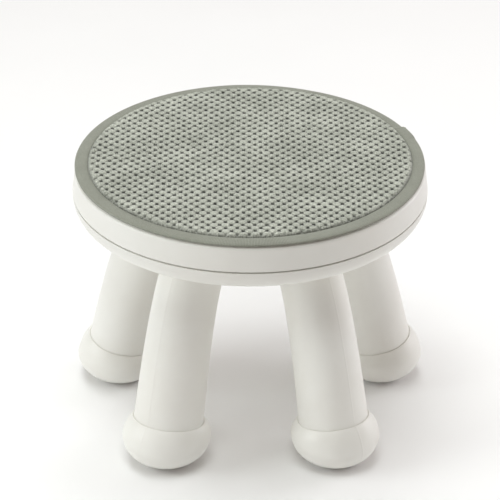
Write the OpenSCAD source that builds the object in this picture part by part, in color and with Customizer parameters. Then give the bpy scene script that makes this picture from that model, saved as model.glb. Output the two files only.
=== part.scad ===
// Low round shower stool: a hollow two-shell seat, four bowed legs with ball feet and a lift-off mat.
// Millimetres, +Z up. The origin is on the floor under the middle of the seat, and the front is -Y.

/* [Seat] */
// Widest diameter, at the parting line between the two shells
seat_d = 270; // [240:1:330]
// Height of the parting line above the floor
split_h = 188; // [160:1:230]
// Height of the upper shell above the parting line
upper_h = 20; // [18:1:28]
// Depth of the lower shell below the parting line
lower_h = 17; // [14:0.5:22]
// Corner radius of the lower shell
under_r = 15; // [10:0.5:20]
// How far the skirt leans in from the parting line to the top edge
skirt_draft = 1.8; // [0:0.1:4]
// Radius of the rounded top edge
edge_r = 4; // [2:0.5:6]
// Wall of the upper shell
top_wall = 3.2; // [3:0.1:4]
// Wall of the lower shell
bottom_wall = 2.8; // [2.4:0.1:3.6]
// Visible groove between the shells
split_gap = 1.2; // [0.6:0.1:1.6]
// Rounding of the two lips at the groove
lip_edge = 0.6; // [0.3:0.1:0.9]
// Thickness of the ribs
rib_t = 2; // [1.6:0.1:3]
// Depth of the ribs under the seat face
rib_h = 6; // [4:0.5:6.5]

/* [Legs] */
// Angle between neighbouring legs; the place at the middle of the back stays empty
leg_pitch = 72; // [66:1:76]
// How far the middle of a foot lies inside the seat's edge
foot_in = 25.5; // [18:0.5:32]
// Lean of the straight lower part of a leg
leg_lean = 12; // [6:1:15]
// Extra inward bow at the top of a leg
leg_bow = 15.5; // [6:0.5:20]
// Leg diameter just above the foot
leg_d_low = 53.2; // [46:0.2:56]
// Leg diameter under the seat
leg_d_top = 46.2; // [42:0.2:54]
// Wall of the hollow leg
leg_wall = 3; // [2.4:0.1:3.6]
// Widest diameter of the ball foot
foot_d = 67.6; // [62:0.2:82]
// Half height of the whole ball that the foot is cut from
foot_half_h = 23.4; // [20:0.2:28]
// Diameter of the flat sole
sole_d = 34; // [32:0.5:40]

/* [Leg fixing] */
// Outer diameter of the neck at the top of a leg
neck_d = 36; // [30:0.5:40]
// Wall of the neck
neck_wall = 2.8; // [2.4:0.1:3.4]
// Diameter of the leg screws
leg_screw_d = 6; // [5:0.5:6.5]
// Length of the leg screws under the head
leg_screw_l = 26; // [20:1:28]
// Space above the socket roofs for the screw heads
head_room = 7.1; // [7:0.1:8]

/* [Foot pads] */
// Diameter of a foot pad
pad_d = 27; // [20:0.5:29]
// Thickness of a foot pad
pad_t = 3; // [2.4:0.2:4]
// How far a pad stands out below the sole
pad_proud = 0.8; // [0.4:0.1:1.2]

/* [Shell screws] */
// Number of screws that join the shells
shell_screw_n = 6; // [4:1:8]
// How far the shell screws lie inside the seat's edge
shell_screw_in = 27; // [23:0.5:31]
// Diameter of the shell screws
shell_screw_d = 4; // [3.5:0.5:4.5]
// Length of the shell screws under the head
shell_screw_l = 16; // [14:1:16]

/* [Mat] */
// How far the mat's edge lies inside the seat's edge
mat_in = 2.2; // [2:0.1:5]
// Visible width of the binding tape
bind_w = 9.8; // [8:0.2:12]
// Thickness of the bound edge
bind_h = 2.6; // [2.2:0.1:3.4]
// Thickness of the binding tape
tape_t = 0.6; // [0.4:0.1:0.8]
// Height of the plush above the binding
plush_proud = 2; // [1.4:0.1:2.6]
// Diameter of a hook or loop pad
grip_d = 26; // [20:1:30]
// How far the hook and loop pads lie inside the seat's edge
grip_in = 40; // [32:1:48]

/* [Hidden] */
clear = 0.3;
run_clear = 0.05;
PLACES = ["front_left", "front_right", "back_left", "back_right"];
PLACE_ANGLES = [-leg_pitch / 2, leg_pitch / 2, -1.5 * leg_pitch, 1.5 * leg_pitch];

white = [0.93, 0.93, 0.91];
grey_rubber = [0.62, 0.62, 0.6];
steel = [0.72, 0.73, 0.75];
sage = [0.62, 0.64, 0.58];
tape_sage = [0.55, 0.56, 0.51];

// seat
seat_r = seat_d / 2;
under_h = split_h - lower_h;
face_h = split_h + upper_h;
ceiling_h = face_h - top_wall;
floor_h = under_h + bottom_wall;
lip_t = 1.6;
lip_h = 4;
lip_round_h = split_h - split_gap / 2 - lip_edge;
corner_r = min(under_r, lip_round_h - under_h);
hub_r = 30;
ring_rib_r = seat_r - 51;
drain_r = 2.5;
drain_ring = seat_r - 47;

// leg path: r and z in the plane through the stool's axis
foot_ring_r = seat_r - foot_in;
sole_h = pad_proud;
sole_drop = foot_half_h * sqrt(1 - pow(sole_d / foot_d, 2));
foot_mid_h = sole_h + sole_drop;
bow_span = under_h - foot_mid_h;
crease_up = foot_half_h * sqrt(1 - pow(leg_d_low / foot_d, 2));
crease_h = foot_mid_h + crease_up;
level_span = 42;
leg_sides = 28;
flat_fit = 1 / cos(180 / leg_sides);

// neck and its fixing
neck_r = neck_d / 2;
neck_bore_r = neck_r - neck_wall;
flange_t = 1.8;
roof_t = 3;
roof_top = ceiling_h - head_room;
roof_h = roof_top - roof_t;
neck_top_h = roof_h - flange_t - clear;
top_r = path_r(under_h);
socket_r = neck_r + clear;
socket_wall = 2.8;
washer_t = 1.4;
washer_r = leg_screw_d + 2.7;
screw_seat_h = roof_top + washer_t;
bearing_r = 13;
bearing_t = 2.4;

// shell screws
shell_head_r = shell_screw_d;
shell_head_t = 2.4;
boss_r = shell_screw_d / 2 + 2.4;
counterbore_r = shell_head_r + 0.4;
seat_land_t = 2.6;
shell_seat_h = split_h - seat_land_t;
shell_screw_ring = seat_r - shell_screw_in;
screw_phase = 180 / shell_screw_n;

// mat
mat_r = seat_r - mat_in;
bind_in_r = mat_r - bind_w;
mat_h = face_h;
bind_top = mat_h + bind_h;
backing_t = 0.9;
core_r = mat_r - tape_t - clear;
core_top = bind_top - tape_t;
plush_top = bind_top + plush_proud;
grip_t = 0.9;
grip_recess = 2 * grip_t;
grip_n = 4;
grip_ring = seat_r - grip_in;
foam_swell = 0.3;

$fn = 96;

// Distance of the leg's middle line from the stool's axis at height z
function path_r(z) = foot_ring_r - max(0, z - foot_mid_h) * tan(leg_lean)
    - leg_bow * pow(max(0, z - foot_mid_h) / bow_span, 4);

// Lean of the leg's middle line at height z
function path_lean(z) = atan(tan(leg_lean)
    + 4 * leg_bow * pow(max(0, z - foot_mid_h) / bow_span, 3) / bow_span);

function leg_r(z) = (leg_d_low + (leg_d_top - leg_d_low) * (z - crease_h) / (under_h - crease_h)) / 2;

// Lean of a ring: square to the leg, then level under the seat and in the lower half of the foot
function ring_lean(z) =
    z > under_h - level_span
        ? path_lean(under_h - level_span) * (under_h - z) / level_span
        : z > crease_h
            ? path_lean(z)
            : path_lean(crease_h) * max(0, z - foot_mid_h) / crease_up;

// A ring is [middle r, middle z, half width across, half width in the leg's plane, lean]
function tube_ring(z, inset) = [
    path_r(z),
    z,
    leg_r(z) - inset,
    (leg_r(z) - inset) / cos(path_lean(z) - ring_lean(z)),
    ring_lean(z)
];

function ball_ring(a, inset) = let (z = foot_mid_h + foot_half_h * sin(a))
    [path_r(z), z, foot_d / 2 * cos(a) - inset, foot_d / 2 * cos(a) - inset, ring_lean(z)];

function level_ring(r, z) = [top_r, z, r, r, 0];

function sole_ring(r, z) = [path_r(sole_h), z, r, r, 0];

function ring_points(g) = [
    for (i = [0:leg_sides - 1])
        let (t = 360 * i / leg_sides, u = g[3] * cos(t))
        [g[2] * sin(t), -(g[0] + u * cos(g[4])), g[1] + u * sin(g[4])]
];

// Closed solid through a list of rings, in order, with a flat end at each end of the list
module skin(rings) {
    n = leg_sides;
    corners = [for (g = rings) each ring_points(g)];
    first_end = [[for (i = [0:n - 1]) i]];
    last_end = [[for (i = [n - 1:-1:0]) (len(rings) - 1) * n + i]];
    sides = [
        for (k = [0:len(rings) - 2], i = [0:n - 1])
            let (a = k * n + i, b = k * n + (i + 1) % n)
            each [[a, a + n, b], [b, a + n, b + n]]
    ];
    polyhedron(corners, concat(first_end, sides, last_end));
}

function arc(cx, cy, r, a0, a1, steps) = [
    for (i = [0:steps])
        let (a = a0 + (a1 - a0) * i / steps)
        [cx + r * cos(a), cy + r * sin(a)]
];

module at_leg(i) {
    rotate([0, 0, PLACE_ANGLES[i]]) children();
}

module at_socket(i) {
    at_leg(i) translate([0, -top_r, 0]) children();
}

module at_sockets() {
    for (i = [0:3]) at_socket(i) children();
}

module round_ring(r_out, r_in, h) {
    difference() {
        cylinder(r = r_out, h = h);
        translate([0, 0, -1]) cylinder(r = r_in, h = h + 2);
    }
}

module at_shell_screws() {
    for (i = [0:shell_screw_n - 1])
        rotate([0, 0, screw_phase + 360 * i / shell_screw_n])
            translate([shell_screw_ring, 0, 0])
                children();
}

// Drain holes in the lower shell, midway between the legs
module at_drains() {
    for (k = [-1:1])
        rotate([0, 0, k * leg_pitch])
            translate([0, -drain_ring, 0])
                children();
    translate([0, drain_ring, 0]) children();
}

module at_grips() {
    for (i = [0:grip_n - 1])
        rotate([0, 0, 360 * i / grip_n])
            translate([grip_ring, 0, 0])
                children();
    children();
}

module top_skin() {
    in_r = seat_r - top_wall;
    rim_h = split_h + split_gap / 2;
    high_r = in_r - skirt_draft;
    rotate_extrude($fn = 160)
        polygon(concat(
            [[0, ceiling_h], [high_r - edge_r, ceiling_h], [high_r, ceiling_h - edge_r]],
            [[in_r, split_h + lip_h + 1], [in_r, rim_h]],
            arc(seat_r - lip_edge, rim_h + lip_edge, lip_edge, -90, 0, 4),
            arc(seat_r - skirt_draft - edge_r, face_h - edge_r, edge_r, 0, 90, 10),
            [[0, face_h]]
        ));
}

module top_ribs() {
    translate([0, 0, ceiling_h - rib_h]) {
        for (r = [hub_r, ring_rib_r])
            round_ring(r, r - rib_t, rib_h + 1);
        for (a = [0:30:330])
            rotate([0, 0, a])
                translate([hub_r - rib_t / 2, -rib_t / 2, 0])
                    cube([seat_r - top_wall - skirt_draft + 1 - hub_r, rib_t, rib_h + 1]);
    }
}

module seat_top_shell() {
    color(white)
        difference() {
            union() {
                top_skin();
                difference() {
                    top_ribs();
                    at_sockets()
                        translate([0, 0, ceiling_h - rib_h - 1])
                            cylinder(r = bearing_r + bearing_t / 2, h = rib_h + 1 + 0.5);
                }
                at_sockets()
                    translate([0, 0, roof_top])
                        round_ring(bearing_r + bearing_t, bearing_r, ceiling_h - roof_top + 1);
                at_shell_screws()
                    translate([0, 0, split_h])
                        cylinder(r = boss_r, h = ceiling_h - split_h + 1);
            }
            at_shell_screws()
                translate([0, 0, shell_seat_h])
                    cylinder(r = shell_screw_d / 2 + run_clear, h = shell_screw_l + 0.6);
            at_grips()
                translate([0, 0, face_h - grip_recess])
                    cylinder(r = grip_d / 2 + clear, h = grip_recess + 1);
        }
}

module bottom_skin() {
    arc_h = under_h + corner_r;
    lip_out = seat_r - top_wall - clear;
    lip_in = lip_out - lip_t;
    hollow_r = corner_r - bottom_wall;
    rotate_extrude($fn = 160)
        polygon(concat(
            [[0, under_h]],
            arc(seat_r - corner_r, arc_h, corner_r, -90, 0, 14),
            arc(seat_r - lip_edge, lip_round_h, lip_edge, 0, 90, 4),
            [[lip_out, split_h - split_gap / 2], [lip_out, split_h + lip_h]],
            [[lip_in, split_h + lip_h]],
            arc(lip_in - hollow_r, arc_h, hollow_r, 0, -90, 10),
            [[0, floor_h]]
        ));
}

module bottom_ribs() {
    rib_top = floor_h + rib_h;
    translate([0, 0, floor_h - 1]) {
        round_ring(hub_r, hub_r - rib_t, rib_top - floor_h + 1);
        for (a = [0:30:330])
            rotate([0, 0, a])
                translate([hub_r - rib_t / 2, -rib_t / 2, 0])
                    cube([seat_r - corner_r - hub_r, rib_t, rib_top - floor_h + 1]);
    }
}

module seat_bottom_shell() {
    color(white)
        difference() {
            union() {
                bottom_skin();
                bottom_ribs();
                at_sockets()
                    translate([0, 0, under_h])
                        cylinder(r = socket_r + socket_wall, h = roof_top - under_h);
                at_shell_screws()
                    translate([0, 0, under_h])
                        cylinder(r = counterbore_r + 2.2, h = split_h - under_h);
            }
            at_sockets() {
                translate([0, 0, under_h - 1])
                    cylinder(r = socket_r, h = roof_h - under_h + 1);
                translate([0, 0, roof_h - 1])
                    cylinder(r = leg_screw_d / 2 + clear, h = roof_t + 2);
            }
            at_shell_screws() {
                translate([0, 0, under_h - 1])
                    cylinder(r = counterbore_r, h = shell_seat_h - under_h + 1);
                translate([0, 0, shell_seat_h - 1])
                    cylinder(r = shell_screw_d / 2 + clear, h = seat_land_t + 2);
            }
            at_drains()
                translate([0, 0, under_h - 1])
                    cylinder(r = drain_r, h = bottom_wall + rib_h + 2);
        }
}

module leg(i) {
    turn_h = crease_h + 2;
    bore_h = under_h - leg_wall;
    sole_bore_r = (pad_d / 2 + clear) * flat_fit;
    low_a = -asin(sole_drop / foot_half_h);
    high_a = asin(crease_up / foot_half_h);
    outer = concat(
        [sole_ring(sole_bore_r, pad_t), sole_ring(sole_bore_r, sole_h)],
        [for (k = [0:9]) ball_ring(low_a + (high_a - low_a) * k / 9, 0)],
        [for (k = [0:14]) tube_ring(turn_h + (under_h - turn_h) * k / 14, 0)],
        [level_ring(neck_r, under_h), level_ring(neck_r, neck_top_h)]
    );
    inner = concat(
        [level_ring(neck_bore_r * flat_fit, neck_top_h), level_ring(neck_bore_r * flat_fit, bore_h)],
        [level_ring(neck_bore_r + 3, bore_h)],
        [for (k = [8:-1:1]) tube_ring(turn_h + (bore_h - 4 - turn_h) * k / 8, leg_wall)],
        [for (k = [5:-1:1]) ball_ring(low_a / 2 + (high_a - low_a / 2) * k / 5, leg_wall)],
        [sole_ring(sole_bore_r, pad_t + leg_wall)]
    );
    color(white)
        at_leg(i)
            skin(concat(outer, inner));
}

module leg_plug(i) {
    tube_r = neck_bore_r - clear / 2;
    tube_in = tube_r - 2.2;
    barb_h = under_h - leg_wall - clear;
    low_h = barb_h - 3;
    boss_low = roof_top - leg_screw_l - 2;
    boss_h = neck_top_h - 1.5 - boss_low;
    boss_wall = 2.6;
    web_l = tube_in - leg_screw_d / 2 - boss_wall + 2;
    color(white)
        at_socket(i) {
            difference() {
                union() {
                    translate([0, 0, neck_top_h])
                        cylinder(r = neck_r - 0.4, h = flange_t);
                    translate([0, 0, low_h])
                        cylinder(r = tube_r, h = neck_top_h - low_h + 0.5);
                    translate([0, 0, low_h])
                        cylinder(r1 = tube_r - 0.4, r2 = tube_r + 1.6, h = barb_h - low_h);
                }
                translate([0, 0, low_h - 1])
                    cylinder(r = tube_in, h = neck_top_h - low_h - 1);
                for (a = [45, 135])
                    rotate([0, 0, a])
                        translate([-neck_r, -1.5, low_h - 1])
                            cube([2 * neck_r, 3, 17]);
                translate([0, 0, neck_top_h - 3])
                    cylinder(r = leg_screw_d / 2 + run_clear, h = 8);
            }
            translate([0, 0, boss_low])
                round_ring(leg_screw_d / 2 + boss_wall, leg_screw_d / 2 + run_clear, boss_h);
            for (a = [0:90:270])
                rotate([0, 0, a])
                    translate([leg_screw_d / 2 + boss_wall - 1, -rib_t / 2, neck_top_h - 10])
                        cube([web_l, rib_t, 9]);
        }
}

module foot_pad(i) {
    chamfer = 0.6;
    color(grey_rubber)
        at_leg(i)
            translate([0, -path_r(sole_h), 0]) {
                cylinder(r1 = pad_d / 2 - chamfer, r2 = pad_d / 2, h = chamfer);
                translate([0, 0, chamfer])
                    cylinder(r = pad_d / 2, h = pad_t - chamfer);
            }
}

// Pan-head screw pointing down, with the underside of its head at z = 0
module pan_screw(d, l, head_r, head_t) {
    tip = d / 3;
    difference() {
        union() {
            intersection() {
                cylinder(r = head_r, h = head_t);
                translate([0, 0, head_t - head_r * 1.6])
                    sphere(r = head_r * 1.6);
            }
            translate([0, 0, tip - l])
                cylinder(r = d / 2, h = l - tip + 0.1);
            translate([0, 0, -l])
                cylinder(r1 = d / 2 - tip * 0.6, r2 = d / 2, h = tip);
        }
        for (a = [0, 90])
            rotate([0, 0, a])
                translate([-head_r * 0.55, -head_r * 0.1, head_t * 0.4])
                    cube([head_r * 1.1, head_r * 0.2, head_t]);
    }
}

module leg_screws() {
    color(steel)
        at_sockets()
            translate([0, 0, screw_seat_h])
                pan_screw(leg_screw_d, leg_screw_l, leg_screw_d, 3);
}

module leg_washers() {
    color(steel)
        at_sockets()
            translate([0, 0, roof_top])
                round_ring(washer_r, leg_screw_d / 2 + clear, washer_t);
}

module shell_screws() {
    color(steel)
        at_shell_screws()
            translate([0, 0, shell_seat_h])
                rotate([180, 0, 0])
                    pan_screw(shell_screw_d, shell_screw_l, shell_head_r, shell_head_t);
}

module seat_hook_pads() {
    color(white)
        at_grips()
            translate([0, 0, face_h - grip_recess])
                cylinder(r = grip_d / 2, h = grip_t);
}

module mat_loop_pads() {
    color(sage)
        at_grips()
            translate([0, 0, face_h - grip_t])
                cylinder(r = grip_d / 2 - 0.5, h = grip_t);
}

module mat_backing() {
    color(grey_rubber)
        translate([0, 0, mat_h]) {
            cylinder(r = bind_in_r - clear, h = tape_t);
            translate([0, 0, tape_t])
                cylinder(r = core_r, h = backing_t - tape_t);
        }
}

// The mat swells inside its bound edge
function swell_line() = [[bind_in_r - 1, core_top], [bind_in_r - 5, core_top + foam_swell]];

module mat_foam() {
    color(sage)
        rotate_extrude($fn = 160)
            polygon(concat(
                [[0, mat_h + backing_t], [core_r, mat_h + backing_t], [core_r, core_top]],
                swell_line(),
                [[0, core_top + foam_swell]]
            ));
}

module mat_plush() {
    soft = 1.2;
    plush_r = bind_in_r - 0.2;
    line = swell_line();
    color(sage)
        rotate_extrude($fn = 160)
            polygon(concat(
                [[0, core_top + foam_swell], line[1], line[0], [plush_r, core_top]],
                arc(plush_r - soft, plush_top - soft, soft, 0, 90, 6),
                [[0, plush_top]]
            ));
}

module mat_binding() {
    edge_round = bind_h / 2;
    color(tape_sage)
        rotate_extrude($fn = 160)
            polygon(concat(
                [[bind_in_r, mat_h]],
                arc(mat_r - edge_round, mat_h + edge_round, edge_round, -90, 90, 12),
                [[bind_in_r, bind_top], [bind_in_r, core_top]],
                [[core_r + clear, core_top], [core_r + clear, mat_h + tape_t], [bind_in_r, mat_h + tape_t]]
            ));
}

seat_top_shell();
seat_bottom_shell();
for (i = [0:3]) {
    leg(i);
    leg_plug(i);
    foot_pad(i);
}
leg_screws();
leg_washers();
shell_screws();
seat_hook_pads();
mat_loop_pads();
mat_backing();
mat_foam();
mat_plush();
mat_binding();
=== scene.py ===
import math

import bpy
import bmesh
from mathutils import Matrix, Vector


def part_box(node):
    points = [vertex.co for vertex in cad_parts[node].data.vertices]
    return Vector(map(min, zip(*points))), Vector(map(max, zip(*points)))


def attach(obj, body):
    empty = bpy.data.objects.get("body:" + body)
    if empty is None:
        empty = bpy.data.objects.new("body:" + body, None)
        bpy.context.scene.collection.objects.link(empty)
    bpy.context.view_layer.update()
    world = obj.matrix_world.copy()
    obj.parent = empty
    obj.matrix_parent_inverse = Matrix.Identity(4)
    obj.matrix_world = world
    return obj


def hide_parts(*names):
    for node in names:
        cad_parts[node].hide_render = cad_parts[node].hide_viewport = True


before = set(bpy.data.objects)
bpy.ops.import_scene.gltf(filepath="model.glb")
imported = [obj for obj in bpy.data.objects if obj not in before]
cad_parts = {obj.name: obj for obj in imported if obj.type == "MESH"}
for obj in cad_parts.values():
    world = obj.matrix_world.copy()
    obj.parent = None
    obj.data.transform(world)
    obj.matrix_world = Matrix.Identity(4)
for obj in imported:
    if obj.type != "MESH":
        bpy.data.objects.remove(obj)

mm = 0.001
turn = math.tau
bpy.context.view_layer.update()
print("frame loaded with", len(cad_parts), "nodes")


def boxOf(node):
    # the lowest and highest corner of a model node, in mm
    return [[round(value / mm, 2) for value in corner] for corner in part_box(node)]


# what several pieces share: a height in mm, and the legs' places in degrees from the front
underHeight = boxOf("seat_bottom_shell")[0][2]
legAngles = {"front_left": -36, "front_right": 36, "back_left": -108, "back_right": 108}


# modelling tools, with distances in mm and angles in degrees

modelling = {
    "weld": 0.002,
    "pointWeld": 0.001,
    "flatAngle": 0.2,
    "roundAngle": 30,
    "leastLean": 0.00005,
}


def startClean():
    if bpy.context.object and bpy.context.object.mode != "OBJECT":
        bpy.ops.object.mode_set(mode="OBJECT")
    bpy.ops.object.select_all(action="DESELECT")


def useOnly(piece):
    startClean()
    piece.select_set(True)
    bpy.context.view_layer.objects.active = piece


def startEdit(piece, selected=True):
    useOnly(piece)
    bpy.ops.object.mode_set(mode="EDIT")
    bpy.ops.mesh.select_mode(type="VERT")
    bpy.ops.mesh.select_all(action="SELECT" if selected else "DESELECT")


def endEdit():
    bpy.ops.object.mode_set(mode="OBJECT")
    startClean()


def selectVerts(piece, wanted):
    # wanted takes a vertex place in mm
    startEdit(piece, selected=False)
    work = bmesh.from_edit_mesh(piece.data)
    for vert in work.verts:
        if wanted(vert.co / mm):
            vert.select = True
    work.select_flush(True)
    bmesh.update_edit_mesh(piece.data)


def selectEdges(piece, wanted):
    # wanted takes the two end places in mm
    startEdit(piece, selected=False)
    bpy.ops.mesh.select_mode(type="EDGE")
    work = bmesh.from_edit_mesh(piece.data)
    for edge in work.edges:
        ends = [vert.co / mm for vert in edge.verts]
        if wanted(ends[0], ends[1]):
            edge.select = True
    bmesh.update_edit_mesh(piece.data)


def applyModifiers(piece):
    useOnly(piece)
    for modifier in list(piece.modifiers):
        bpy.ops.object.modifier_apply(modifier=modifier.name)
    startClean()


def placeInMesh(piece):
    useOnly(piece)
    bpy.ops.object.transform_apply(location=True, rotation=True, scale=True)
    startClean()


def smoothBy(piece, angle):
    useOnly(piece)
    bpy.ops.object.shade_smooth_by_angle(angle=math.radians(angle))
    startClean()


def evenShading(piece):
    # wide faces decide how the narrow ones beside them are shaded
    even = piece.modifiers.new("evenShading", "WEIGHTED_NORMAL")
    even.mode = "FACE_AREA"
    even.keep_sharp = True
    applyModifiers(piece)


def mergeAndTurnOut(piece):
    startEdit(piece)
    bpy.ops.mesh.remove_doubles(threshold=modelling["pointWeld"] * mm)
    bpy.ops.mesh.normals_make_consistent(inside=False)
    endEdit()


def joinPieces(pieces, name):
    startClean()
    for piece in pieces:
        piece.select_set(True)
    bpy.context.view_layer.objects.active = pieces[0]
    bpy.ops.object.join()
    joined = bpy.context.object
    joined.name = name
    startClean()
    return joined


def copyOf(piece, name):
    useOnly(piece)
    bpy.ops.object.duplicate(linked=False)
    twin = bpy.context.object
    twin.name = name
    startClean()
    return twin


def spunShape(name, outline, steps, closed=False):
    # the outline is a line of (radius, height) points, spun round the stool's axis
    startClean()
    bpy.ops.mesh.primitive_plane_add(size=mm, location=(0, 0, 0))
    piece = bpy.context.object
    piece.name = name
    startEdit(piece)
    bpy.ops.mesh.merge(type="CENTER")
    points = list(outline) + ([outline[0]] if closed else [])
    bpy.ops.transform.translate(value=(points[0][0] * mm, 0, points[0][1] * mm))
    for before, after in zip(points, points[1:]):
        step = ((after[0] - before[0]) * mm, 0, (after[1] - before[1]) * mm)
        bpy.ops.mesh.extrude_region_move(TRANSFORM_OT_translate={"value": step})
    bpy.ops.mesh.select_all(action="SELECT")
    bpy.ops.mesh.remove_doubles(threshold=modelling["pointWeld"] * mm)
    bpy.ops.mesh.spin(steps=steps, angle=turn, center=(0, 0, 0), axis=(0, 0, 1))
    endEdit()
    mergeAndTurnOut(piece)
    return piece


def cleanCopy(node, name):
    # a merged copy of a model node with round faces shaded smooth
    piece = copyOf(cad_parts[node], name)
    piece.parent = None
    for key in list(piece.keys()):
        if key.startswith("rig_"):
            del piece[key]
    piece.data.materials.clear()
    startEdit(piece)
    bpy.ops.mesh.remove_doubles(threshold=modelling["weld"] * mm)
    bpy.ops.mesh.dissolve_limited(angle_limit=math.radians(modelling["flatAngle"]))
    endEdit()
    smoothBy(piece, modelling["roundAngle"])
    evenShading(piece)
    return piece


# material tools

def tone(red, green, blue):
    # a colour as it looks on a screen, turned into light values
    values = []
    for part in (red, green, blue):
        part = part / 255
        values.append(part / 12.92 if part <= 0.04045 else ((part + 0.055) / 1.055) ** 2.4)
    return (*values, 1.0)


def addNode(tree, kind, values=None, **settings):
    node = tree.nodes.new(kind)
    for key, value in settings.items():
        setattr(node, key, value)
    for key, value in (values or {}).items():
        node.inputs[key].default_value = value
    return node


def wire(tree, source, output, target, entry):
    tree.links.new(source.outputs[output], target.inputs[entry])


def colourMix(tree, factor, first, second):
    # each of the three is a (node, output) pair or a plain value
    mix = addNode(tree, "ShaderNodeMix", data_type="RGBA")
    for entry, given in ((0, factor), (6, first), (7, second)):
        if isinstance(given, tuple) and isinstance(given[0], bpy.types.Node):
            wire(tree, given[0], given[1], mix, entry)
        else:
            mix.inputs[entry].default_value = given
    return mix


def noise(tree, place, scale, detail=3.0, roughness=0.55):
    node = addNode(tree, "ShaderNodeTexNoise", {"Detail": detail, "Roughness": roughness})
    wire(tree, place, "Object", node, "Vector")
    if isinstance(scale, tuple):
        wire(tree, scale[0], scale[1], node, "Scale")
    else:
        node.inputs["Scale"].default_value = scale
    return node


def spread(tree, source, output, low, high, toLow=0.0, toHigh=1.0):
    node = addNode(tree, "ShaderNodeMapRange", {"From Min": low, "From Max": high})
    wire(tree, source, output, node, "Value")
    for entry, given in (("To Min", toLow), ("To Max", toHigh)):
        if isinstance(given, tuple):
            wire(tree, given[0], given[1], node, entry)
        else:
            node.inputs[entry].default_value = given
    return node


def newGroup(name, inputs, outputs):
    tree = bpy.data.node_groups.new(name, "ShaderNodeTree")
    for label, kind, value in inputs:
        socket = tree.interface.new_socket(name=label, in_out="INPUT", socket_type="NodeSocket" + kind)
        socket.default_value = value
    for label, kind in outputs:
        tree.interface.new_socket(name=label, in_out="OUTPUT", socket_type="NodeSocket" + kind)
    return tree, tree.nodes.new("NodeGroupInput"), tree.nodes.new("NodeGroupOutput")


def useGroup(tree, group, values):
    node = addNode(tree, "ShaderNodeGroup", node_tree=group)
    for key, value in values.items():
        node.inputs[key].default_value = value
    return node


def newMaterial(name, **constants):
    material = bpy.data.materials.new(name)
    material.use_nodes = True
    tree = material.node_tree
    shader = tree.nodes["Principled BSDF"]
    for key, value in constants.items():
        shader.inputs[key.replace("_", " ")].default_value = value
    return material, tree, shader


def finishWith(piece, material):
    piece.data.materials.clear()
    piece.data.materials.append(material)


# shared effects: ranges are of the noise between 0 and 1, and heights are in mm

mouldedLook = {
    "cloudDetail": 4.0,
    "tintRange": (0.35, 0.65),
    "glossRange": (0.3, 0.7),
    "grainDetail": 2.0,
    "grainHeight": 0.2,
}


def makeMouldedFinish():
    # two close tints in soft clouds, a fine grain and an uneven gloss
    tree, given, out = newGroup("mouldedFinish", [
        ("Tint", "Color", (0.8, 0.8, 0.78, 1)),
        ("Second Tint", "Color", (0.76, 0.76, 0.74, 1)),
        ("Cloud Scale", "Float", 14.0),
        ("Grain Scale", "Float", 1400.0),
        ("Grain Depth", "Float", 0.1),
        ("Gloss Low", "Float", 0.3),
        ("Gloss High", "Float", 0.45),
    ], [("Color", "Color"), ("Roughness", "Float"), ("Normal", "Vector")])
    place = addNode(tree, "ShaderNodeTexCoord")
    clouds = noise(tree, place, (given, "Cloud Scale"), mouldedLook["cloudDetail"])
    patches = spread(tree, clouds, "Fac", *mouldedLook["tintRange"])
    tints = colourMix(tree, (patches, "Result"), (given, "Tint"), (given, "Second Tint"))
    wire(tree, tints, 2, out, "Color")
    gloss = spread(tree, clouds, "Fac", *mouldedLook["glossRange"],
                   (given, "Gloss Low"), (given, "Gloss High"))
    wire(tree, gloss, "Result", out, "Roughness")
    grain = noise(tree, place, (given, "Grain Scale"), mouldedLook["grainDetail"])
    bump = addNode(tree, "ShaderNodeBump", {"Distance": mouldedLook["grainHeight"] * mm})
    wire(tree, given, "Grain Depth", bump, "Strength")
    wire(tree, grain, "Fac", bump, "Height")
    wire(tree, bump, "Normal", out, "Normal")
    return tree


scuffLook = {
    "speckScale": 160.0,
    "speckDetail": 6.0,
    "speckRoughness": 0.7,
    "speckRange": (0.48, 0.72),
}


def makeScuffs():
    # fine grime and scuffs that fade out above a height
    tree, given, out = newGroup("floorScuffs", [
        ("Color", "Color", (0.8, 0.8, 0.8, 1)),
        ("Grime", "Color", (0.4, 0.38, 0.35, 1)),
        ("Amount", "Float", 0.3),
        ("Clear Height", "Float", 0.03),
    ], [("Color", "Color")])
    place = addNode(tree, "ShaderNodeTexCoord")
    split = addNode(tree, "ShaderNodeSeparateXYZ")
    wire(tree, place, "Object", split, "Vector")
    fade = addNode(tree, "ShaderNodeMapRange", {"From Max": 0.0, "To Min": 0.0, "To Max": 1.0})
    wire(tree, split, "Z", fade, "Value")
    wire(tree, given, "Clear Height", fade, "From Min")
    specks = noise(tree, place, scuffLook["speckScale"], scuffLook["speckDetail"],
                   scuffLook["speckRoughness"])
    patches = spread(tree, specks, "Fac", *scuffLook["speckRange"])
    mask = addNode(tree, "ShaderNodeMath", operation="MULTIPLY")
    wire(tree, fade, "Result", mask, 0)
    wire(tree, patches, "Result", mask, 1)
    amount = addNode(tree, "ShaderNodeMath", operation="MULTIPLY")
    wire(tree, mask, "Value", amount, 0)
    wire(tree, given, "Amount", amount, 1)
    mix = colourMix(tree, (amount, "Value"), (given, "Color"), (given, "Grime"))
    wire(tree, mix, 2, out, "Color")
    return tree


yarnLook = {
    "fibreDetail": 3.0,
    "fibreRoughness": 0.7,
    "fineRange": (0.4, 0.6),
    "brushDetail": 4.0,
    "brushRange": (0.3, 0.7),
    "glossRange": (0.3, 0.7),
    "gloss": (0.86, 1.0),
    "fibreHeight": 0.5,
}


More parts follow.
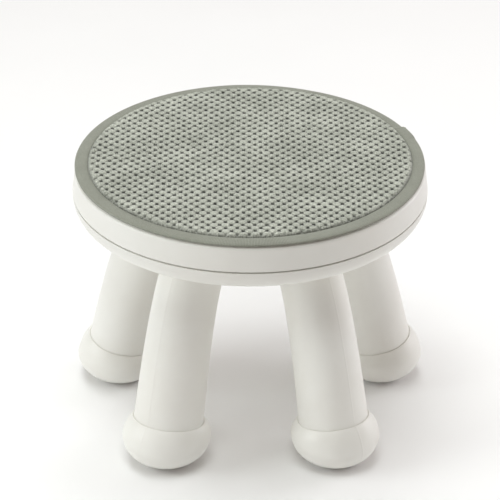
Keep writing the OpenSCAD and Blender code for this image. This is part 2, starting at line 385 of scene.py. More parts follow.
def makeYarnAndPaintedShade():
    # speckled fibres on two scales with brushed patches, and painted shade that darkens the yarn where
    # a point is marked as lying deep
    tree, given, out = newGroup("yarnAndPaintedShade", [
        ("Light Yarn", "Color", (0.5, 0.52, 0.45, 1)),
        ("Dark Yarn", "Color", (0.35, 0.37, 0.31, 1)),
        ("Painted Shade Color", "Color", (0.03, 0.03, 0.02, 1)),
        ("Depth", "Float", 0.0),
        ("Fibre Scale", "Float", 1500.0),
        ("Brush Scale", "Float", 40.0),
        ("Brush Share", "Float", 0.3),
        ("Fibre Depth", "Float", 0.6),
    ], [("Color", "Color"), ("Roughness", "Float"), ("Normal", "Vector")])
    place = addNode(tree, "ShaderNodeTexCoord")
    fibres = noise(tree, place, (given, "Fibre Scale"), yarnLook["fibreDetail"],
                   yarnLook["fibreRoughness"])
    brushed = noise(tree, place, (given, "Brush Scale"), yarnLook["brushDetail"])
    finePart = spread(tree, fibres, "Fac", *yarnLook["fineRange"])
    widePart = spread(tree, brushed, "Fac", *yarnLook["brushRange"])
    blend = addNode(tree, "ShaderNodeMix", data_type="FLOAT")
    wire(tree, given, "Brush Share", blend, 0)
    wire(tree, finePart, "Result", blend, 2)
    wire(tree, widePart, "Result", blend, 3)
    yarn = colourMix(tree, (blend, 0), (given, "Dark Yarn"), (given, "Light Yarn"))
    # painted shade: the Depth value mixes the yarn toward the dark shade colour
    deep = colourMix(tree, (given, "Depth"), (yarn, 2), (given, "Painted Shade Color"))
    wire(tree, deep, 2, out, "Color")
    rough = spread(tree, fibres, "Fac", *yarnLook["glossRange"], *yarnLook["gloss"])
    wire(tree, rough, "Result", out, "Roughness")
    bump = addNode(tree, "ShaderNodeBump", {"Distance": yarnLook["fibreHeight"] * mm})
    wire(tree, given, "Fibre Depth", bump, "Strength")
    wire(tree, fibres, "Fac", bump, "Height")
    wire(tree, bump, "Normal", out, "Normal")
    return tree


mouldedFinish = makeMouldedFinish()
floorScuffs = makeScuffs()
yarnAndPaintedShade = makeYarnAndPaintedShade()
print("shared effects made")


def materialOf(group, name, values, **constants):
    material, tree, shader = newMaterial(name, **constants)
    finish = useGroup(tree, group, values)
    finish.name = "finish"
    for output, entry in (("Color", "Base Color"), ("Roughness", "Roughness"), ("Normal", "Normal")):
        wire(tree, finish, output, shader, entry)
    return material


def addScuffs(material, values):
    tree = material.node_tree
    scuffs = useGroup(tree, floorScuffs, values)
    wire(tree, tree.nodes["finish"], "Color", scuffs, "Color")
    wire(tree, scuffs, "Color", tree.nodes["Principled BSDF"], "Base Color")


def addPaintedShade(material, attribute, share):
    # painted shade: a mesh attribute says how far each point is darkened toward the shade colour,
    # where it lies deep in shade
    tree = material.node_tree
    depth = addNode(tree, "ShaderNodeAttribute", attribute_name=attribute)
    strength = addNode(tree, "ShaderNodeMath", {1: share}, operation="MULTIPLY")
    wire(tree, depth, "Fac", strength, 0)
    wire(tree, strength, "Value", tree.nodes["finish"], "Depth")


# seat shells

seatPlastic = {
    "Tint": tone(240, 240, 235),
    "Second Tint": tone(236, 235, 229),
    "Cloud Scale": 11.0,
    "Grain Scale": 1500.0,
    "Grain Depth": 0.12,
    "Gloss Low": 0.34,
    "Gloss High": 0.46,
}


def makeShells():
    plastic = materialOf(mouldedFinish, "seatPlastic", seatPlastic, IOR=1.49)
    for node, name in (("seat_top_shell", "upperShell"), ("seat_bottom_shell", "lowerShell")):
        shell = cleanCopy(node, name)
        finishWith(shell, plastic)
        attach(shell, "seat")
        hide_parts(node)


makeShells()
print("shells finished")


# legs with their ball feet

leg = {
    "footRing": 109.5,
    "lean": 12.0,
    "bow": 15.5,
    "lowRadius": 26.6,
    "topRadius": 23.1,
    "footRadius": 33.8,
    "footHalf": 23.4,
    "soleHeight": 0.8,
    "soleRadius": 17.0,
    "levelSpan": 42.0,
    "wall": 3.0,
    "neckRadius": 18.0,
    "neckBore": 15.2,
    "neckTop": 192.6,
    "padBore": 13.8,
    "padDepth": 3.0,
    "sides": 128,
    "footRings": 22,
    "tubeRings": 30,
    "innerTubeRings": 10,
    "innerFootRings": 7,
    "creaseGap": 2.0,
    "neckGap": 4.0,
    "neckLand": 3.0,
    "lipWidth": 1.1,
    "lip": [(0.25, 0.12), (0.5, 0.06), (0.75, -0.15)],
    "grooveDepth": 0.45,
    "seamWidth": 0.3,
    "seamRise": 0.16,
    "seamStart": 0.3,
    "seamEnd": 6.0,
    "seamReach": 1.6,
    "ballGap": 4.0,
    "roundAngle": 50,
    "plastic": {
        "Tint": tone(246, 246, 241),
        "Second Tint": tone(242, 241, 235),
        "Cloud Scale": 16.0,
        "Grain Scale": 1100.0,
        "Grain Depth": 0.1,
        "Gloss Low": 0.3,
        "Gloss High": 0.42,
    },
    "scuffs": {
        "Grime": tone(176, 170, 160),
        "Amount": 0.35,
        "Clear Height": 0.012,
    },
}


def ballHeight(radius):
    # how far from the ball's middle its surface has this radius
    return leg["footHalf"] * math.sqrt(1 - (radius / leg["footRadius"]) ** 2)


footDrop = ballHeight(leg["soleRadius"])
footMiddle = leg["soleHeight"] + footDrop
creaseUp = ballHeight(leg["lowRadius"])
creaseHeight = footMiddle + creaseUp
lipUp = ballHeight(leg["lowRadius"] + leg["lipWidth"])
bowSpan = underHeight - footMiddle


def pathRadius(z):
    up = max(0.0, z - footMiddle)
    leaned = up * math.tan(math.radians(leg["lean"]))
    return leg["footRing"] - leaned - leg["bow"] * (up / bowSpan) ** 4


def pathLean(z):
    up = max(0.0, z - footMiddle)
    bowed = 4 * leg["bow"] * (up / bowSpan) ** 3 / bowSpan
    return math.atan(math.tan(math.radians(leg["lean"])) + bowed)


def legRadius(z):
    share = (z - creaseHeight) / (underHeight - creaseHeight)
    return leg["lowRadius"] + (leg["topRadius"] - leg["lowRadius"]) * share


def ringLean(z):
    levelFrom = underHeight - leg["levelSpan"]
    if z > levelFrom:
        return pathLean(levelFrom) * (underHeight - z) / leg["levelSpan"]
    if z > creaseHeight:
        return pathLean(z)
    return pathLean(creaseHeight) * max(0.0, z - footMiddle) / creaseUp


# a ring is (distance from the axis, height, half width, half depth, lean)
def tubeRing(z, inset=0.0):
    width = legRadius(z) - inset
    depth = width / math.cos(pathLean(z) - ringLean(z))
    return (pathRadius(z), z, width, depth, ringLean(z))


def footRing(angle, inset=0.0):
    z = footMiddle + leg["footHalf"] * math.sin(angle)
    width = leg["footRadius"] * math.cos(angle) - inset
    return (pathRadius(z), z, width, width, ringLean(z))


def legRings():
    # up the outside from the pad's seat to the neck, then down the inside
    topRadius = pathRadius(underHeight)
    boreHeight = underHeight - leg["wall"]
    lipHeight = footMiddle + lipUp
    grooveHeight = lipHeight - leg["grooveDepth"]
    low = -math.asin(footDrop / leg["footHalf"])
    high = math.asin(lipUp / leg["footHalf"])
    inner = math.asin(creaseUp / leg["footHalf"])
    rings = []
    for z in (leg["padDepth"], leg["soleHeight"]):
        rings.append((leg["footRing"], z, leg["padBore"], leg["padBore"], 0.0))
    for k in range(leg["footRings"] + 1):
        rings.append(footRing(low + (high - low) * k / leg["footRings"]))
    # the ball rolls over a small lip into a groove round the leg
    for share, rise in leg["lip"]:
        width = leg["lowRadius"] + leg["lipWidth"] * (1 - share)
        z = lipHeight + rise
        rings.append((pathRadius(z), z, width, width, ringLean(z)))
    for k in range(leg["tubeRings"] + 1):
        rings.append(tubeRing(grooveHeight + (underHeight - grooveHeight) * k / leg["tubeRings"]))
    for width, z in ((leg["neckRadius"], underHeight), (leg["neckRadius"], leg["neckTop"]),
                     (leg["neckBore"], leg["neckTop"]), (leg["neckBore"], boreHeight),
                     (leg["neckBore"] + leg["neckLand"], boreHeight)):
        rings.append((topRadius, z, width, width, 0.0))
    innerLow = creaseHeight + leg["creaseGap"]
    innerHigh = boreHeight - leg["neckGap"]
    for k in range(leg["innerTubeRings"], 0, -1):
        z = innerLow + (innerHigh - innerLow) * k / leg["innerTubeRings"]
        rings.append(tubeRing(z, leg["wall"]))
    for k in range(leg["innerFootRings"], 0, -1):
        rings.append(footRing(low / 2 + (inner - low / 2) * k / leg["innerFootRings"], leg["wall"]))
    rings.append((leg["footRing"], leg["padDepth"] + leg["wall"], leg["padBore"], leg["padBore"], 0.0))
    return rings


def leanRing(lean, middle):
    if abs(lean) > math.radians(modelling["leastLean"]):
        bpy.ops.transform.rotate(value=lean, orient_axis="X", center_override=middle)


def makeLeg():
    rings = legRings()
    startClean()
    bpy.ops.mesh.primitive_circle_add(vertices=leg["sides"], radius=mm, fill_type="NGON")
    piece = bpy.context.object
    startEdit(piece)
    width, depth = rings[0][2], rings[0][3]
    bpy.ops.transform.resize(value=(width, depth, 1))
    bpy.ops.transform.translate(value=(0, -rings[0][0] * mm, rings[0][1] * mm))
    bpy.ops.mesh.select_mode(type="EDGE")
    bpy.ops.mesh.select_all(action="SELECT")
    for before, after in zip(rings, rings[1:]):
        step = (0, (before[0] - after[0]) * mm, (after[1] - before[1]) * mm)
        middle = (0, -after[0] * mm, after[1] * mm)
        bpy.ops.mesh.extrude_edges_move(TRANSFORM_OT_translate={"value": step})
        leanRing(-before[4], middle)
        growth = (after[2] / before[2], after[3] / before[3], 1)
        bpy.ops.transform.resize(value=growth, center_override=middle)
        leanRing(after[4], middle)
    bpy.ops.mesh.edge_face_add()
    endEdit()
    mergeAndTurnOut(piece)
    return piece


def onLegSeam(place):
    # the two lines where the halves of the mould met, in the plane through the stool's axis
    z = place.z
    if abs(place.x) > modelling["pointWeld"]:
        return False
    if z < leg["soleHeight"] + leg["seamStart"] or z > underHeight + leg["seamEnd"]:
        return False
    if z < creaseHeight - leg["ballGap"]:
        share = min(1.0, abs(z - footMiddle) / leg["footHalf"])
        outer = leg["footRadius"] * math.sqrt(1 - share * share)
    else:
        outer = legRadius(min(z, underHeight))
    return abs(-place.y - pathRadius(min(z, underHeight))) > outer - leg["seamReach"]


def addLegSeam(piece):
    selectEdges(piece, lambda first, second: onLegSeam(first) and onLegSeam(second))
    bpy.ops.mesh.bevel(offset=leg["seamWidth"] * mm, offset_type="OFFSET", segments=2,
                       profile=0.5, affect="EDGES")
    endEdit()
    selectVerts(piece, onLegSeam)
    bpy.ops.transform.shrink_fatten(value=leg["seamRise"] * mm)
    endEdit()


def makeLegs():
    plastic = materialOf(mouldedFinish, "legPlastic", leg["plastic"], IOR=1.49)
    addScuffs(plastic, leg["scuffs"])
    first = makeLeg()
    addLegSeam(first)
    smoothBy(first, leg["roundAngle"])
    evenShading(first)
    for place, angle in legAngles.items():
        piece = copyOf(first, "leg." + place)
        piece.rotation_euler.z = math.radians(angle)
        placeInMesh(piece)
        finishWith(piece, plastic)
        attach(piece, "seat")
        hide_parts("leg_" + place)
    bpy.data.objects.remove(first)


makeLegs()
print("legs finished")


# rubber pads in the soles

footPad = {
    "radius": 13.5,
    "thickness": 3.0,
    "grooves": [(2.6, 4.4), (6.6, 8.4), (10.4, 12.0)],
    "grooveSlope": 0.4,
    "grooveDepth": 0.7,
    "edge": [(0.6, 0.0), (0.15, 0.25), (0.0, 0.6)],
    "steps": 64,
    "rubber": {
        "Tint": tone(172, 172, 168),
        "Second Tint": tone(160, 160, 156),
        "Cloud Scale": 60.0,
        "Grain Scale": 1800.0,
        "Grain Depth": 0.35,
        "Gloss Low": 0.6,
        "Gloss High": 0.78,
    },
    "scuffs": {
        "Grime": tone(120, 117, 110),
        "Amount": 0.5,
        "Clear Height": 0.003,
    },
}


def padOutline():
    slope, depth = footPad["grooveSlope"], footPad["grooveDepth"]
    radius, thickness = footPad["radius"], footPad["thickness"]
    outline = [(0, 0)]
    for inner, outer in footPad["grooves"]:
        outline += [(inner, 0), (inner + slope, depth), (outer - slope, depth), (outer, 0)]
    outline += [(radius - inset, height) for inset, height in footPad["edge"]]
    return outline + [(radius, thickness), (0, thickness)]


def makeFootPads():
    rubber = materialOf(mouldedFinish, "padRubber", footPad["rubber"], Specular_IOR_Level=0.35)
    addScuffs(rubber, footPad["scuffs"])
    first = spunShape("footPad", padOutline(), footPad["steps"])
    smoothBy(first, modelling["roundAngle"])
    reach = leg["footRing"] * mm
    for place, angle in legAngles.items():
        piece = copyOf(first, "footPad." + place)
        around = math.radians(angle)
        piece.location = (reach * math.sin(around), -reach * math.cos(around), 0)
        piece.rotation_euler.z = around
        placeInMesh(piece)
        finishWith(piece, rubber)
        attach(piece, "seat")
        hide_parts("foot_pad_" + place)
    bpy.data.objects.remove(first)


makeFootPads()
print("foot pads finished")


# screws, washers and plugs keep their own shapes

fixings = {
    "steel": {
        "Tint": tone(196, 198, 200),
        "Second Tint": tone(178, 180, 182),
        "Cloud Scale": 220.0,
        "Grain Scale": 2600.0,
        "Grain Depth": 0.08,
        "Gloss Low": 0.22,
        "Gloss High": 0.38,
    },
    "plug": {
        "Tint": tone(226, 226, 221),
        "Second Tint": tone(216, 216, 210),
        "Cloud Scale": 40.0,
        "Grain Scale": 1200.0,
        "Grain Depth": 0.15,
        "Gloss Low": 0.4,
        "Gloss High": 0.55,
    },
}


def finishFixings():
    steel = materialOf(mouldedFinish, "screwSteel", fixings["steel"], Metallic=1.0)
    plug = materialOf(mouldedFinish, "plugPlastic", fixings["plug"], IOR=1.49)
    screws = cleanCopy("shell_screws", "shellScrews")
    finishWith(screws, steel)
    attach(screws, "seat")
    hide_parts("shell_screws")
    for node in ("leg_screws", "leg_washers"):
        finishWith(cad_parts[node], steel)
    for place in legAngles:
        finishWith(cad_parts["leg_plug_" + place], plug)


finishFixings()
print("fixings finished")


# grip pads between seat and mat

gripPads = {
    "hook": {
        "Tint": tone(228, 228, 222),
        "Second Tint": tone(206, 206, 199),
        "Cloud Scale": 500.0,
        "Grain Scale": 900.0,
        "Grain Depth": 1.0,
        "Gloss Low": 0.5,
        "Gloss High": 0.7,
    },
    "loop": {
        "Light Yarn": tone(168, 172, 160),
        "Dark Yarn": tone(138, 142, 130),
        "Fibre Scale": 1400.0,
        "Fibre Depth": 1.0,
    },
}


def finishGripPads():
    hook = materialOf(mouldedFinish, "hookTape", gripPads["hook"])
    loop = materialOf(yarnAndPaintedShade, "loopTape", gripPads["loop"], Sheen_Weight=0.2)
    finishWith(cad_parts["seat_hook_pads"], hook)
    finishWith(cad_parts["mat_loop_pads"], loop)


finishGripPads()
print("grip pads finished")


# binding tape round the mat

tapeLow, tapeHigh = boxOf("mat_binding")

binding = {
    "outerRadius": tapeHigh[0],
    "innerRadius": 123.0,
    "lowHeight": tapeLow[2],
    "thickness": tapeHigh[2] - tapeLow[2],
    "tape": 0.6,
    "pocketRadius": 132.2,
    "edgeDepth": 3.0,
    "edgeSteps": 12,
    "innerEdge": 0.25,
    "innerDrop": 0.2,
    "dome": 0.15,
    "domeSteps": 4,
    "faceDrop": 0.3,
    "pocketGap": 0.1,
    "ribs": 758,
    "ribRise": 0.16,
    "ribFrom": 0.05,
    "lapAngle": 24.0,
    "lapSpan": 9.0,
    "lapEase": 3.0,
    "lapRise": 0.8,
    "lapFrom": 0.3,
    "slack": 2.0,
    "slackEnd": 95.0,
    "slackEase": 28.0,
    "slackAfterLap": 0.7,
    "slackStart": -40.0,
    "slackStartEase": 30.0,
    "slackWithin": 0.5,
    "roundAngle": 60,
    # how strongly the valleys between the ribs take the painted shade
    "valleyShadeShare": 0.6,
    "yarn": {
        "Light Yarn": tone(172, 174, 162),
        "Dark Yarn": tone(142, 145, 133),
        # the painted shade colour of the rib valleys
        "Painted Shade Color": tone(88, 90, 80),
        "Fibre Scale": 1800.0,
        "Brush Scale": 60.0,
        "Fibre Depth": 0.5,
    },
}
bindingTop = tapeHigh[2]


def bindingOutline():
    half = binding["thickness"] / 2
    depth, inner, low = binding["edgeDepth"], binding["innerRadius"], binding["lowHeight"]
    pocketTop = bindingTop - binding["tape"]
    pocketLow = low + binding["tape"]
    edgeFrom = binding["outerRadius"] - depth
    outline = [(inner, low)]
    for k in range(binding["edgeSteps"] + 1):
        angle = math.radians(-90 + 180 * k / binding["edgeSteps"])
        outline.append((edgeFrom + depth * math.cos(angle), low + half + half * math.sin(angle)))
    flatFrom = inner + binding["innerEdge"]
    for k in range(1, binding["domeSteps"] + 1):
        share = k / binding["domeSteps"]
        outline.append((flatFrom + (edgeFrom - flatFrom) * (1 - share),
                        bindingTop + binding["dome"] * math.sin(math.pi * share)))
    outline += [(inner, bindingTop - binding["innerDrop"]), (inner, pocketTop)]
    outline += [(binding["pocketRadius"], pocketTop), (binding["pocketRadius"], pocketLow)]
    return outline + [(inner, pocketLow)]


def slackAt(angle):
    # the mat's edge runs a little inside its circle on both sides of the lap
    if binding["lapAngle"] < angle < binding["slackEnd"]:
        return binding["slack"] * min(1.0, (binding["slackEnd"] - angle) / binding["slackEase"])
    if binding["slackStart"] < angle <= binding["lapAngle"]:
        ease = min(1.0, (angle - binding["slackStart"]) / binding["slackStartEase"])
        return binding["slackAfterLap"] * ease
    return 0.0


def drawInEdge(piece):
    keepInside = binding["innerRadius"] + binding["slackWithin"]
    for vert in piece.data.vertices:
        around = math.hypot(vert.co.x, vert.co.y) / mm
        if around > keepInside:
            share = (around - keepInside) / (binding["outerRadius"] - keepInside)
            drawn = slackAt(math.degrees(math.atan2(vert.co.y, vert.co.x))) * share
            vert.co.x *= 1 - drawn / around
            vert.co.y *= 1 - drawn / around


def isTapeFace(place, above):
    # the tape's upper face and its rounded edge, but not its pocket or its lower face
    around = math.hypot(place.x, place.y)
    if place.z < binding["lowHeight"] + above:
        return False
    onFace = place.z > bindingTop - binding["faceDrop"]
    return onFace or around > binding["pocketRadius"] + binding["pocketGap"]


def columnOf(place, columns):
    return round(math.atan2(place.y, place.x) / turn * columns) % columns


def makeBinding():
    columns = 2 * binding["ribs"]
    piece = spunShape("matBinding", bindingOutline(), columns, closed=True)
    selectVerts(piece, lambda place: isTapeFace(place, binding["ribFrom"])
                and columnOf(place, columns) % 2 == 1)
    bpy.ops.transform.shrink_fatten(value=binding["ribRise"] * mm)
    endEdit()
    # painted shade in the valleys between the ribs
    valley = piece.data.attributes.new("ribValleyShade", "FLOAT", "POINT")
    for vert in piece.data.vertices:
        place = vert.co / mm
        valley.data[vert.index].value = 1.0 if columnOf(place, columns) % 2 == 0 else 0.0
    lapTape(piece)
    drawInEdge(piece)
    smoothBy(piece, binding["roundAngle"])
    return piece


def lapTape(piece):
    # the end of the tape lies over its beginning
    for vert in piece.data.vertices:
        place = vert.co / mm
        angle = math.degrees(math.atan2(place.y, place.x))
        back = binding["lapAngle"] - angle
        if 0 <= back <= binding["lapSpan"] and isTapeFace(place, binding["lapFrom"]):
            ease = min(1.0, (binding["lapSpan"] - back) / binding["lapEase"])
            vert.co += vert.normal * binding["lapRise"] * ease * mm


def finishBinding():
    bindingPiece = makeBinding()
    tape = materialOf(yarnAndPaintedShade, "bindingTape", binding["yarn"], Sheen_Weight=0.15)
    # painted shade in the rib valleys
    addPaintedShade(tape, "ribValleyShade", binding["valleyShadeShare"])
    finishWith(bindingPiece, tape)
    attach(bindingPiece, "mat")
    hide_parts("mat_binding")


finishBinding()
print("binding finished")


# backing and foam of the mat

matCore = {
    "backing": {
        "Tint": tone(168, 168, 164),
        "Second Tint": tone(156, 156, 151),
        "Cloud Scale": 50.0,
        "Grain Scale": 700.0,
        "Grain Depth": 0.8,
        "Gloss Low": 0.62,
        "Gloss High": 0.8,
    },
    "foam": {
        "Tint": tone(176, 178, 168),
        "Second Tint": tone(160, 162, 152),
        "Cloud Scale": 300.0,
        "Grain Scale": 900.0,
        "Grain Depth": 1.0,
        "Gloss Low": 0.9,
        "Gloss High": 1.0,
    },
}


def finishMatCore():
    rubber = materialOf(mouldedFinish, "backingRubber", matCore["backing"], Specular_IOR_Level=0.3)
    foam = materialOf(mouldedFinish, "matFoam", matCore["foam"])
    for node, name, material, slot in (("mat_backing", "matBacking", rubber, "backing_rubber"),
                                       ("mat_foam", "matFoam", foam, "foam")):
        piece = cleanCopy(node, name)
        drawInEdge(piece)
        finishWith(piece, material)
        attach(piece, "mat")
        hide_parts(node)


finishMatCore()
print("backing and foam finished")


# plush face of the mat: one tuft, copied over a staggered grid

plush = {
    "radius": boxOf("mat_plush")[1][0],
    "baseHeight": 210.35,
    "creaseHeight": 211.9,
    "tuftRise": 1.05,
    "halfAcross": 4.229,
    "halfDeep": 4.571,
    "gridTurn": -0.35,
    "gridShift": (-0.82, -19.78),
    "spareTufts": 3,
    "cuts": 8,
    "crowding": 0.5,
    "puffPower": 0.38,
    "holeAcross": 1.1,
    "holeDeep": 1.35,
    "holeDepth": 1.5,
    "holePower": 4,
    # painted shade: how dark the holes, creases and rim line of the pile are painted
    "holeShade": 3.0,
    "creaseShade": 0.4,
    "edgeHeight": 210.7,
    "rollOff": 3.0,
    "edgeTrim": 0.3,
    "edgeShade": 0.8,
    "edgeShadeSpan": 1.6,
    "holeFade": 7.0,
    "rimShare": 0.25,
    "tuftWeld": 0.02,
    "ruffles": [
        ("tuftHeights", 5.0, 0.4, "Z"),
        ("brushedWave", 26.0, 0.25, "Z"),
        ("rowsAcross", 38.0, 2.6, "X"),
        ("rowsDeep", 31.0, 2.2, "Y"),
    ],
    "jitter": 0.22,
    "seed": 4,
    "roundAngle": 80,
    "pileShadeShare": 1.0,
    "yarn": {
        "Light Yarn": tone(214, 217, 205),
        "Dark Yarn": tone(126, 130, 117),
        # the painted shade colour in the holes and creases
        "Painted Shade Color": tone(16, 18, 13),
        "Fibre Scale": 850.0,
        "Brush Scale": 45.0,
        "Brush Share": 0.34,
        "Fibre Depth": 1.0,
    },
}


def crowd(share):
    # rows of vertices stand closer together near a tuft's edges
    crowding = plush["crowding"]
    return (1 - crowding) * share + crowding / 2 * (1 - math.cos(math.pi * share))


def makeTuft():
    startClean()
    bpy.ops.mesh.primitive_grid_add(x_subdivisions=plush["cuts"], y_subdivisions=plush["cuts"],
                                    size=math.sqrt(2), rotation=(0, 0, turn / 8))
    tuft = bpy.context.object
    placeInMesh(tuft)
    across, deep = plush["halfAcross"], plush["halfDeep"]
    tuft.scale = (across * mm, deep * mm, mm)
    placeInMesh(tuft)
    # painted shade: this attribute darkens the creases between tufts and the holes at their corners
    depth = tuft.data.attributes.new("pileShade", "FLOAT", "POINT")
    corners = [(-across, 0), (across, 0), (0, -deep), (0, deep)]
    for vert in tuft.data.vertices:
        x, y = vert.co.x / mm, vert.co.y / mm
        u = crowd((x / across + y / deep) / 2 + 0.5)
        v = crowd((x / across - y / deep) / 2 + 0.5)
        x, y = (u + v - 1) * across, (u - v) * deep
        # 0 along a tuft's edges and 1 at its middle
        dome = 16 * u * (1 - u) * v * (1 - v)
        puff = max(0.0, dome) ** plush["puffPower"]
        near = min(math.hypot((x - cornerX) / plush["holeAcross"], (y - cornerY) / plush["holeDeep"])
                   for cornerX, cornerY in corners)
        hole = math.exp(-near ** plush["holePower"])
        height = plush["creaseHeight"] + plush["tuftRise"] * puff - plush["holeDepth"] * hole
        vert.co = (x * mm, y * mm, height * mm)
        # painted shade in the creases and holes
        shade = plush["creaseShade"] * (1 - puff) ** 2 + plush["holeShade"] * hole
        depth.data[vert.index].value = min(1.0, shade)
    return tuft


def coverWithTufts(tuft):
    stepX, stepY = 2 * plush["halfAcross"], 2 * plush["halfDeep"]
    countX = 2 * math.ceil(plush["radius"] / stepX) + plush["spareTufts"]
    reachY = plush["radius"] + abs(plush["gridShift"][1])
    countY = 2 * math.ceil(reachY / stepY) + plush["spareTufts"]
    for count, step in ((countX, (stepX * mm, 0, 0)), (countY, (0, stepY * mm, 0))):
        rows = tuft.modifiers.new("rows", "ARRAY")
        rows.count = count
        rows.use_relative_offset = False
        rows.use_constant_offset = True
        rows.constant_offset_displace = step
    applyModifiers(tuft)
    between = copyOf(tuft, "tuftsBetween")
    between.location = (plush["halfAcross"] * mm, plush["halfDeep"] * mm, 0)
    placeInMesh(between)
    sheet = joinPieces([tuft, between], "matPlush")
    backX = -(countX // 2) * stepX
    backY = -(countY // 2) * stepY + plush["halfDeep"]
    sheet.location = (backX * mm, backY * mm, 0)
    placeInMesh(sheet)
    sheet.rotation_euler.z = math.radians(plush["gridTurn"])
    sheet.location = (plush["gridShift"][0] * mm, plush["gridShift"][1] * mm, 0)
    placeInMesh(sheet)
    startEdit(sheet)
    bpy.ops.mesh.remove_doubles(threshold=plush["tuftWeld"] * mm)
    endEdit()
    return sheet


def trimToCircle(sheet):
    radius = plush["radius"]
    startEdit(sheet, selected=False)
    work = bmesh.from_edit_mesh(sheet.data)
    for face in work.faces:
        middle = face.calc_center_median() / mm
        if math.hypot(middle.x, middle.y) > radius - plush["edgeTrim"]:
            face.select = True
    bmesh.update_edit_mesh(sheet.data)
    bpy.ops.mesh.delete(type="FACE")
    endEdit()
    work = bmesh.new()
    work.from_mesh(sheet.data)
    depth = work.verts.layers.float["pileShade"]
    for vert in work.verts:
        place = vert.co / mm
        around = math.hypot(place.x, place.y)
        # painted shadow: a dark line along the rim where the binding shades the pile, while the crease
        # and hole shade fades toward the rim
        inwards = max(0.0, radius - around)
        shade = plush["edgeShade"] * (1 - inwards / plush["edgeShadeSpan"])
        kept = min(1.0, plush["rimShare"] + inwards / plush["holeFade"])
        vert[depth] = max(shade, vert[depth] * kept)
        if vert.is_boundary:
            vert.co.x *= radius / around
            vert.co.y *= radius / around
            vert.co.z = plush["edgeHeight"] * mm
        elif around > radius - plush["rollOff"]:
            share = max(0.0, (radius - around) / plush["rollOff"])
            rise = math.sqrt(1 - (1 - share) ** 2)
            vert.co.z = (plush["edgeHeight"] + (place.z - plush["edgeHeight"]) * rise) * mm
    work.to_mesh(sheet.data)
    work.free()


def closeUnderside(sheet):
    startEdit(sheet, selected=False)
    bpy.ops.mesh.select_mode(type="EDGE")
    bpy.ops.mesh.select_non_manifold(extend=False, use_wire=False, use_multi_face=False,
                                     use_non_contiguous=False, use_verts=False)
    bpy.ops.mesh.extrude_edges_move(TRANSFORM_OT_translate={"value": (0, 0, 0)})
    drop = (plush["baseHeight"] - plush["edgeHeight"]) * mm
    bpy.ops.transform.translate(value=(0, 0, drop))
    bpy.ops.mesh.edge_face_add()
    endEdit()


def ruffle(sheet):
    # uneven tuft heights and a soft wave left by brushing
    for label, scale, strength, direction in plush["ruffles"]:
        pattern = bpy.data.textures.new(label, "CLOUDS")
        pattern.noise_scale = scale * mm
        pattern.noise_depth = 2
        lift = sheet.modifiers.new(label, "DISPLACE")
        lift.texture = pattern
        lift.texture_coords = "LOCAL"
        lift.direction = direction
        lift.mid_level = 0.5
        lift.strength = strength * mm
    applyModifiers(sheet)
    startEdit(sheet)
    bpy.ops.transform.vertex_random(offset=plush["jitter"] * mm, uniform=1.0, normal=0.0,
                                    seed=plush["seed"])
    endEdit()


def makePlush():
    sheet = coverWithTufts(makeTuft())
    ruffle(sheet)
    trimToCircle(sheet)
    closeUnderside(sheet)
    mergeAndTurnOut(sheet)
    smoothBy(sheet, plush["roundAngle"])
    return sheet


def finishPlush():
    plushPiece = makePlush()
    pile = materialOf(yarnAndPaintedShade, "plushPile", plush["yarn"], Sheen_Weight=0.25,
                      Sheen_Roughness=0.6)
    # painted shade in the pile's creases, holes and along its rim
    addPaintedShade(pile, "pileShade", plush["pileShadeShare"])
    finishWith(plushPiece, pile)
    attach(plushPiece, "mat")
    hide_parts("mat_plush")
    print("plush finished with", len(plushPiece.data.polygons), "faces")


finishPlush()


# floor, light and camera

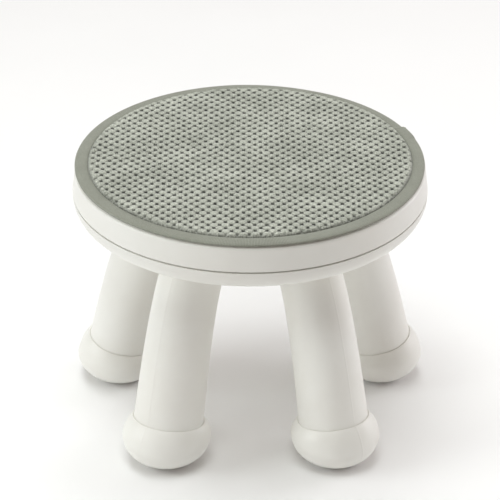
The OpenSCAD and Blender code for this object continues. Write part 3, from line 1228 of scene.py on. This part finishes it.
studio = {
    "floorSize": 8,
    "floorTint": tone(254, 254, 254),
    "secondFloorTint": tone(251, 251, 251),
    "floorCloudScale": 3.0,
    "floorCloudRange": (0.3, 0.7),
    "worldTint": (1.0, 0.8, 0.7, 1.0),
    "worldLight": 0.17,
    "lampAim": (0, 0, 0.12),
    "lamps": [
        ("keyLamp", (-2.0, -0.45, 1.0), 1.3, 20, (0.95, 1.0, 1.0)),
        ("sideLamp", (1.8, 0.7, 0.7), 1.2, 16, (0.98, 0.97, 1.0)),
        ("topLamp", (-0.2, 0.5, 2.3), 1.5, 26, (0.97, 1.0, 1.0)),
        ("frontLamp", (-0.1, -0.8, 2.4), 1.1, 19, (0.96, 1.0, 0.99)),
    ],
    "lens": 183.84,
    "distance": 1.9736,
    "elevation": 29.22,
    "aimHeight": 0.1315,
    "shiftAcross": -0.00036,
    "shiftUp": 0.001,
    "turned": 0.4,
}


def aimAt(thing, target):
    thing.rotation_euler = (Vector(target) - thing.location).to_track_quat("-Z", "Y").to_euler()


def makeFloor():
    startClean()
    bpy.ops.mesh.primitive_plane_add(size=studio["floorSize"], location=(0, 0, 0))
    floor = bpy.context.object
    floor.name = "floor"
    material, tree, shader = newMaterial("paleFloor", Roughness=0.9)
    place = addNode(tree, "ShaderNodeTexCoord")
    clouds = noise(tree, place, studio["floorCloudScale"])
    patches = spread(tree, clouds, "Fac", *studio["floorCloudRange"])
    mix = colourMix(tree, (patches, "Result"), studio["floorTint"], studio["secondFloorTint"])
    wire(tree, mix, 2, shader, "Base Color")
    finishWith(floor, material)


def makeLamp(name, place, size, power, tint):
    startClean()
    bpy.ops.object.light_add(type="AREA", location=place)
    lamp = bpy.context.object
    lamp.name = name
    lamp.data.size = size
    lamp.data.energy = power
    lamp.data.color = tint
    aimAt(lamp, studio["lampAim"])


def makeCamera():
    up = math.radians(studio["elevation"])
    away = studio["distance"]
    around = math.radians(studio["turned"])
    back = away * math.cos(up)
    height = studio["aimHeight"] + away * math.sin(up)
    place = (-back * math.sin(around), -back * math.cos(around), height)
    startClean()
    bpy.ops.object.camera_add(location=place)
    camera = bpy.context.object
    camera.name = "camera"
    camera.data.sensor_width = 36
    camera.data.lens = studio["lens"]
    camera.data.shift_x = studio["shiftAcross"]
    camera.data.shift_y = studio["shiftUp"]
    aimAt(camera, (0, 0, studio["aimHeight"]))
    bpy.context.scene.camera = camera


def makeWorld():
    world = bpy.data.worlds.new("studio")
    world.use_nodes = True
    background = world.node_tree.nodes["Background"]
    background.inputs["Color"].default_value = studio["worldTint"]
    background.inputs["Strength"].default_value = studio["worldLight"]
    bpy.context.scene.world = world


makeFloor()
for name, place, size, power, tint in studio["lamps"]:
    makeLamp(name, place, size, power, tint)
makeWorld()
bpy.context.scene.view_settings.view_transform = "Standard"
makeCamera()
print("floor, lights and camera set")
